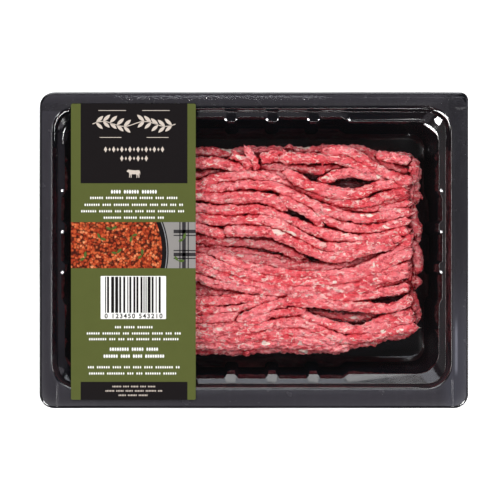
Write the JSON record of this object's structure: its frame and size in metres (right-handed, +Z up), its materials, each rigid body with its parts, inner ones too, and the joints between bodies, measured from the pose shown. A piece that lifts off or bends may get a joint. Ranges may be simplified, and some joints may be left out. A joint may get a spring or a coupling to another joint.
{
  "type": "sealed tray pack of minced beef",
  "caption": "Sealed tray pack of beef mince: black ribbed tray with a flat flange, clear lidding film, printed label and a block of mince strands inside.",
  "frame": {"origin": "middle of the pack's outline, at the level of the surface that the tray stands on", "axes": "+X along the pack's long side, away from the label; +Y across it, towards the label's head; +Z up, out through the film"},
  "size_m": [0.187, 0.1378, 0.0366],
  "materials": {
    "tray_plastic": "black thermoformed sheet, glossy, slightly wavy",
    "raw_mince": "raw beef mince, moist, pink-red with pale fat specks and dark red gaps",
    "clear_film": "thin clear glossy lidding film",
    "label_green": "satin printed label, olive green",
    "label_black": "satin printed label, warm black",
    "label_picture_print": "satin printed label, orange-brown picture field",
    "label_white": "satin printed label, white code patch"
  },
  "bodies": {
    "root": {"tray": "tray_plastic", "mince": "raw_mince", "film": "clear_film", "label": "label_green", "label_top_panel": "label_black", "label_picture": "label_picture_print", "label_code_patch": "label_white", "label_foot_panel": "label_black"}
  },
  "joints": []
}
